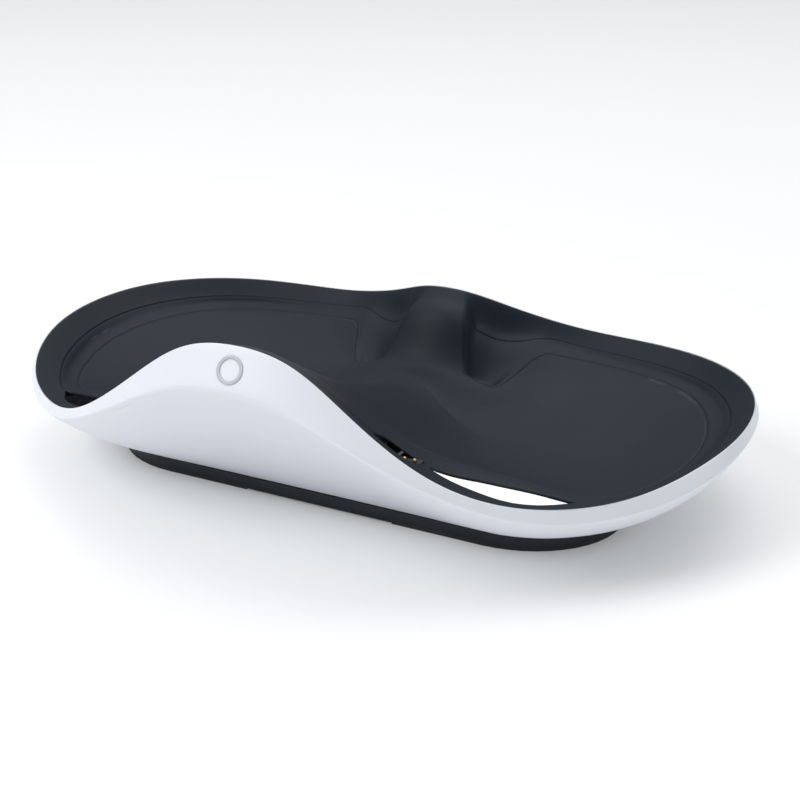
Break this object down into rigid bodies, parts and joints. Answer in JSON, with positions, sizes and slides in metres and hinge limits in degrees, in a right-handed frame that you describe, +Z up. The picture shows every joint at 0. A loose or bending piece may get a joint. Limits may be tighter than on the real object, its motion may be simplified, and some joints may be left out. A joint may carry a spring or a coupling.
{
  "type": "controller charging station",
  "caption": "Boat-shaped desktop charging station with two shallow bowls, raised front crest, front slots and sprung contacts for a pair of ring-shaped hand controllers.",
  "frame": {"origin": "on the table, under the middle of the overall box", "axes": "+X to the right seen from the front, +Y to the back, +Z up"},
  "size_m": [0.2624, 0.166, 0.0714],
  "materials": {
    "shell_white": "fine satin",
    "liner_dark": "fine matt",
    "base_black": "matt",
    "foot_rubber": "matt",
    "badge_grey": "satin",
    "screw_steel": "machined",
    "bar_steel": "zinc plated",
    "board_green": "solder mask",
    "chip_black": "moulded",
    "can_aluminium": "drawn",
    "socket_cream": "moulded",
    "contact_gold": "gold plated",
    "harness_grey": "sleeve"
  },
  "bodies": {
    "station": {"outer_shell": "shell_white", "rim_liner": "liner_dark", "cradle_floor": "liner_dark", "front_badge": "badge_grey", "base_plate": "base_black", "foot_left": "foot_rubber", "foot_right": "foot_rubber", "base_screws": "screw_steel", "screw_posts": "liner_dark", "ballast_bars": "bar_steel", "passage_left": "base_black", "passage_right": "base_black", "main_board": "board_green", "board_chips": "chip_black", "power_inductor": "chip_black", "capacitors": "can_aluminium", "board_sockets": "socket_cream", "board_screws": "screw_steel", "inlet_housing": "base_black", "inlet_pin": "contact_gold", "inlet_sleeve": "contact_gold", "contact_block_left": "base_black", "contact_block_right": "base_black", "contact_board_left": "board_green", "contact_board_right": "board_green", "magnets_left": "bar_steel", "magnets_right": "bar_steel", "harness_left": "harness_grey", "harness_right": "harness_grey", "spring_left_1": "screw_steel", "spring_left_2": "screw_steel", "spring_left_3": "screw_steel", "spring_right_1": "screw_steel", "spring_right_2": "screw_steel", "spring_right_3": "screw_steel"},
    "pin_left_1": {"pin_left_1": "contact_gold"},
    "pin_left_2": {"pin_left_2": "contact_gold"},
    "pin_left_3": {"pin_left_3": "contact_gold"},
    "pin_right_1": {"pin_right_1": "contact_gold"},
    "pin_right_2": {"pin_right_2": "contact_gold"},
    "pin_right_3": {"pin_right_3": "contact_gold"}
  },
  "joints": [
    {"name": "press_left_1", "type": "slide", "parent": "station", "child": "pin_left_1", "axis": [0, 0, -1], "range_m": [0, 0.0008], "stiffness_N_per_m": 600, "springref_m": -0.0004, "deforming": ["spring_left_1"]},
    {"name": "press_left_2", "type": "slide", "parent": "station", "child": "pin_left_2", "axis": [0, 0, -1], "range_m": [0, 0.0008], "stiffness_N_per_m": 600, "springref_m": -0.0004, "deforming": ["spring_left_2"]},
    {"name": "press_left_3", "type": "slide", "parent": "station", "child": "pin_left_3", "axis": [0, 0, -1], "range_m": [0, 0.0008], "stiffness_N_per_m": 600, "springref_m": -0.0004, "deforming": ["spring_left_3"]},
    {"name": "press_right_1", "type": "slide", "parent": "station", "child": "pin_right_1", "axis": [0, 0, -1], "range_m": [0, 0.0008], "stiffness_N_per_m": 600, "springref_m": -0.0004, "deforming": ["spring_right_1"]},
    {"name": "press_right_2", "type": "slide", "parent": "station", "child": "pin_right_2", "axis": [0, 0, -1], "range_m": [0, 0.0008], "stiffness_N_per_m": 600, "springref_m": -0.0004, "deforming": ["spring_right_2"]},
    {"name": "press_right_3", "type": "slide", "parent": "station", "child": "pin_right_3", "axis": [0, 0, -1], "range_m": [0, 0.0008], "stiffness_N_per_m": 600, "springref_m": -0.0004, "deforming": ["spring_right_3"]}
  ]
}
